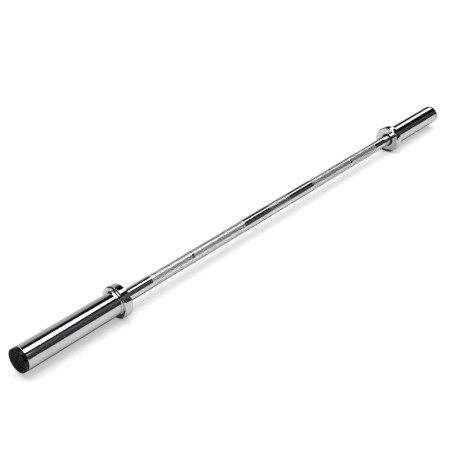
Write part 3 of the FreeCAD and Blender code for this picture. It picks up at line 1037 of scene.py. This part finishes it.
@dataclass
class Studio:
    """Pale floor, one long overhead softbox, a dim room that the chrome mirrors, and the camera, in metres.

    A level is a brightness, where 1 is white. The panels and the walls are there for mirrors only.
    """

    # Floor: its height, half of its side, its colour, and the light that it adds for the camera, which keeps
    # its shadows pale, and in mirrors.
    floor_z: float
    floor_half: float = 30.0
    floor_colour: str = "#F6F6F6"
    floor_lift: float = 0.34
    mirror_lift: float = 0.1
    # Softbox: its height, its front and its rear edge from the near end, and its levels at two stations.
    softbox_z: float = 1.2
    softbox_front: Pairs = ((-1.45, -0.5), (0.0, -0.5), (0.25, -0.34), (1.2, 0.14), (3.8, 0.17))
    softbox_rear: Pairs = (
        (-1.45, 1.15), (-0.45, 1.15), (-0.4, 0.14), (0.0, 0.14), (0.25, 0.05), (1.2, 0.36), (3.8, 1.25)
    )
    softbox_levels: Pairs = ((1.2, 3.2), (2.6, 1.6))
    # Small panel that the near sleeve mirrors: its edges seen along the bar, its ends and its level.
    streak: Pairs = ((-1.13, 0.99), (-1.03, 1.09))
    streak_span: tuple[float, float] = (-1.3, -0.01)
    streak_level: float = 1.0
    # Painted shade: dark sheets on the floor under the bar, which only mirrors see, and which darken the
    # chrome's lower edges where the bar's contact shadow lies: their front and rear edge, their ends, their
    # thickness and their level.
    painted_shade_edges: tuple[float, float] = (-0.021, 0.03)
    painted_shade_spans: Pairs = ((-0.78, 0.42), (0.494, 0.86))
    painted_shade_thickness: float = 0.001
    painted_shade_level: float = 0.05
    # Light on matt surfaces: the way to its middle, the angle in degrees that it fills, its level on a white
    # floor, and the level of the even light from the room.
    lamp_way: Point = (0.0, 0.12, 1.0)
    lamp_spread: float = 68.0
    lamp_level: float = 0.48
    fill_level: float = 0.48
    # Walls: their level by degrees from the front horizon over the top, and the share of it on the front and
    # the rear side, by how far the mirrored way points along the bar.
    walls: Pairs = (
        (10.0, 0.034), (28.0, 0.085), (45.0, 0.165), (50.0, 0.13),
        (56.0, 0.008), (124.0, 0.008), (136.0, 0.48), (174.0, 0.75),
    )
    front_fade: Pairs = ((0.7, 1.0), (0.85, 0.6))
    rear_fade: Pairs = (
        (0.0, 0.04), (0.3, 1.0), (0.58, 1.0), (0.65, 0.86), (0.72, 0.55), (0.79, 0.24), (0.86, 0.1)
    )
    # Degrees that the rear wall sinks, where along the bar this begins and is full, and the front's colour.
    rear_sink: float = 25.0
    sink_span: tuple[float, float] = (0.5, 0.75)
    front_tint: str = "#EFF8FF"
    # Camera: focal length and picture width in millimetres, how far it sees, its place, and how many degrees
    # it looks down and is turned from the bar's right end.
    lens: float = 65.78
    picture_width: float = 36.0
    view_depth: float = 200.0
    camera_place: Point = (-1.4046, -1.0103, 0.9096)
    camera_pitch: float = 29.1525
    camera_heading: float = 39.83

    def build(self) -> None:
        """Build the floor, the panels, the lamp, the room and the camera."""
        bpy.context.scene.view_settings.view_transform = "Standard"
        self.build_floor()
        self.build_panels()
        self.build_lamp()
        self.build_room()
        self.build_camera()

    def add_sheet(self, name: str, corners: Sequence[Point], material: Material) -> Object:
        """Add one flat sheet to the stage.

        Args:
            name: Name of the sheet.
            corners: Its corners in order.
            material: Its material.

        Returns:
            The sheet.
        """
        mesh = bpy.data.meshes.new(name)
        mesh.from_pydata(corners, [], [tuple(range(len(corners)))])
        mesh.materials.append(material)
        sheet = bpy.data.objects.new(name, mesh)
        bpy.context.scene.collection.objects.link(sheet)
        sheet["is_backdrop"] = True
        return sheet

    def build_floor(self) -> None:
        """Lay the floor, which keeps the bar's shadow."""
        material, tree = blank_material("white paper sweep")
        direct, glossy = ray_kinds(tree)
        mirrored = add_node(tree, "Math", {0: glossy, 1: self.mirror_lift}, operation="MULTIPLY").outputs[0]
        lift = add_node(
            tree, "Math", {0: direct, 1: self.floor_lift, 2: mirrored}, operation="MULTIPLY_ADD"
        )
        matt = add_node(tree, "BsdfDiffuse", {"Color": linear(self.floor_colour)})
        shine = add_node(tree, "Emission", {"Strength": lift.outputs[0]})
        both = add_node(tree, "AddShader", {0: matt.outputs[0], 1: shine.outputs[0]})
        add_node(tree, "OutputMaterial", {"Surface": both.outputs[0]})
        material.cycles.emission_sampling = "NONE"
        corners = [(x * self.floor_half, y * self.floor_half, self.floor_z) for x, y in SQUARE]
        self.add_sheet("studio_floor", corners, material)

    def build_panels(self) -> None:
        """Set up the softbox, the small panel at the near end and the dark sheets of painted shade under the
        bar, for mirrors only.
        """
        outline = [*self.softbox_front, *reversed(self.softbox_rear)]
        corners = [(x, y, self.softbox_z) for x, y in outline]
        self.hang_panel("overhead_softbox", "white diffuser cloth", corners, self.softbox_levels)
        corners = strip_corners(self.streak_span, self.streak)
        self.hang_panel("near_panel", "white foam board", corners, self.streak_level)
        edges = tuple((y, self.floor_z + self.painted_shade_thickness) for y in self.painted_shade_edges)
        # Each dark sheet is painted shade: it stands for the shadowed floor under the bar, as mirrors show
        # it.
        for span in self.painted_shade_spans:
            self.hang_panel("painted_contact_shade", "painted contact shade", strip_corners(span, edges), self.painted_shade_level)

    def hang_panel(self, name: str, made_of: str, corners: Sequence[Point], level: float | Pairs) -> None:
        """Hang a panel that only mirrors see.

        Args:
            name: Name of the panel.
            made_of: Name of its material.
            corners: Its corners in order.
            level: Its brightness, or two stations with the brightness there, which is even beyond them.
        """
        material, tree = blank_material(made_of)
        strength: Any = level
        if not isinstance(level, float):
            (start, start_level), (end, end_level) = level
            place = add_node(tree, "SeparateXYZ", {0: add_node(tree, "TexCoord").outputs["Object"]})
            stations = {"Value": place.outputs["X"], "From Min": start, "From Max": end}
            levels = {"To Min": start_level, "To Max": end_level}
            strength = add_node(tree, "MapRange", stations | levels).outputs["Result"]
        shine = add_node(tree, "Emission", {"Strength": strength})
        add_node(tree, "OutputMaterial", {"Surface": shine.outputs[0]})
        material.cycles.emission_sampling = "FRONT_BACK"
        panel = self.add_sheet(name, corners, material)
        panel.visible_camera = False
        panel.visible_diffuse = False
        panel.visible_shadow = False

    def build_lamp(self) -> None:
        """Light the matt surfaces from where the softbox is."""
        light = bpy.data.lights.new("overhead_lamp", "SUN")
        light.angle = math.radians(self.lamp_spread)
        light.energy = self.lamp_level * math.pi
        lamp = bpy.data.objects.new("overhead_lamp", light)
        lamp.rotation_euler = Vector(self.lamp_way).to_track_quat("Z", "Y").to_euler()
        lamp.visible_camera = False
        lamp.visible_glossy = False
        bpy.context.scene.collection.objects.link(lamp)

    def build_room(self) -> None:
        """Build the room: white behind the floor, even for matt surfaces, and dim walls for the chrome."""
        world = bpy.data.worlds.new("studio_room")
        bpy.context.scene.world = world
        world.use_nodes = True
        world.cycles.sampling_method = "NONE"
        tree = world.node_tree
        tree.nodes.clear()
        direct, glossy = ray_kinds(tree)
        mirrored = add_node(tree, "Background", {"Color": self.add_walls(tree), "Strength": 1.0})
        even = add_node(tree, "Background", {"Color": linear(WHITE), "Strength": self.fill_level})
        white = add_node(tree, "Background", {"Color": linear(WHITE), "Strength": 1.0})
        matt = add_node(tree, "MixShader", {0: glossy, 1: even.outputs[0], 2: mirrored.outputs[0]})
        shown = add_node(tree, "MixShader", {0: direct, 1: matt.outputs[0], 2: white.outputs[0]})
        add_node(tree, "OutputWorld", {"Surface": shown.outputs[0]})

    def add_walls(self, tree: NodeTree) -> NodeSocket:
        """Add the nodes of the room's walls, whose rear one sinks and darkens towards the bar's right end.

        Args:
            tree: Node tree of the world.

        Returns:
            Colour of the walls.
        """
        way = add_node(tree, "SeparateXYZ", {0: add_node(tree, "TexCoord").outputs["Generated"]}).outputs
        behind = add_node(tree, "Math", {0: way["Y"], 1: 0.0}, operation="GREATER_THAN").outputs[0]
        front = add_node(tree, "Math", {0: way["Y"], 1: -1.0}, operation="MULTIPLY").outputs[0]
        rise = add_node(tree, "Math", {0: way["Z"], 1: front}, operation="ARCTAN2").outputs[0]
        part = add_node(tree, "Math", {0: rise, 1: math.pi}, operation="DIVIDE").outputs[0]
        begins, full = self.sink_span
        limits = {"Value": way["X"], "From Min": begins, "From Max": full}
        depths = {"To Min": 0.0, "To Max": -self.rear_sink / HALF_TURN}
        sink = add_node(tree, "MapRange", limits | depths).outputs["Result"]
        sunk = add_node(tree, "Math", {0: behind, 1: sink, 2: part}, operation="MULTIPLY_ADD").outputs[0]
        colours = []
        for along, levels, tint in (
            (sunk, [(degrees / HALF_TURN, level) for degrees, level in self.walls], WHITE),
            (way["X"], self.front_fade, self.front_tint),
            (way["X"], self.rear_fade, WHITE),
        ):
            ramp = add_node(tree, "ValToRGB", {0: along})
            stops = ramp.color_ramp.elements
            while len(stops) < len(levels):
                stops.new(1.0)
            for stop, (position, level) in zip(stops, levels):
                stop.position = position
                stop.color = (*(level * channel for channel in linear(tint)[:3]), 1.0)
            colours.append(ramp.outputs["Color"])
        walls, front_share, rear_share = colours
        sides = {"Factor": behind, "A": front_share, "B": rear_share}
        share = add_node(tree, "Mix", sides, data_type="RGBA").outputs["Result"]
        shaded = {"Factor": 1.0, "A": walls, "B": share}
        return add_node(tree, "Mix", shaded, data_type="RGBA", blend_type="MULTIPLY").outputs["Result"]

    def build_camera(self) -> None:
        """Set the camera where the photograph was taken from."""
        data = bpy.data.cameras.new("photo_camera")
        data.lens = self.lens
        data.sensor_width = self.picture_width
        data.clip_end = self.view_depth
        camera = bpy.data.objects.new("photo_camera", data)
        camera.location = self.camera_place
        camera.rotation_euler = (
            math.radians(90 - self.camera_pitch), 0.0, math.radians(self.camera_heading - 90)
        )
        bpy.context.scene.collection.objects.link(camera)
        bpy.context.scene.camera = camera


def main() -> None:
    """Build the bar and the studio, with the floor at the lowest point of the imported solids."""
    logging.basicConfig(level=logging.INFO, format="%(name)s: %(message)s")
    solids = [list(corner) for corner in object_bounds()]
    InnerPieces().dress()
    Shaft().build()
    for side in Side:
        Sleeve(side).build()
    Studio(floor_z=solids[0][2]).build()


if __name__ == "__main__":
    main()
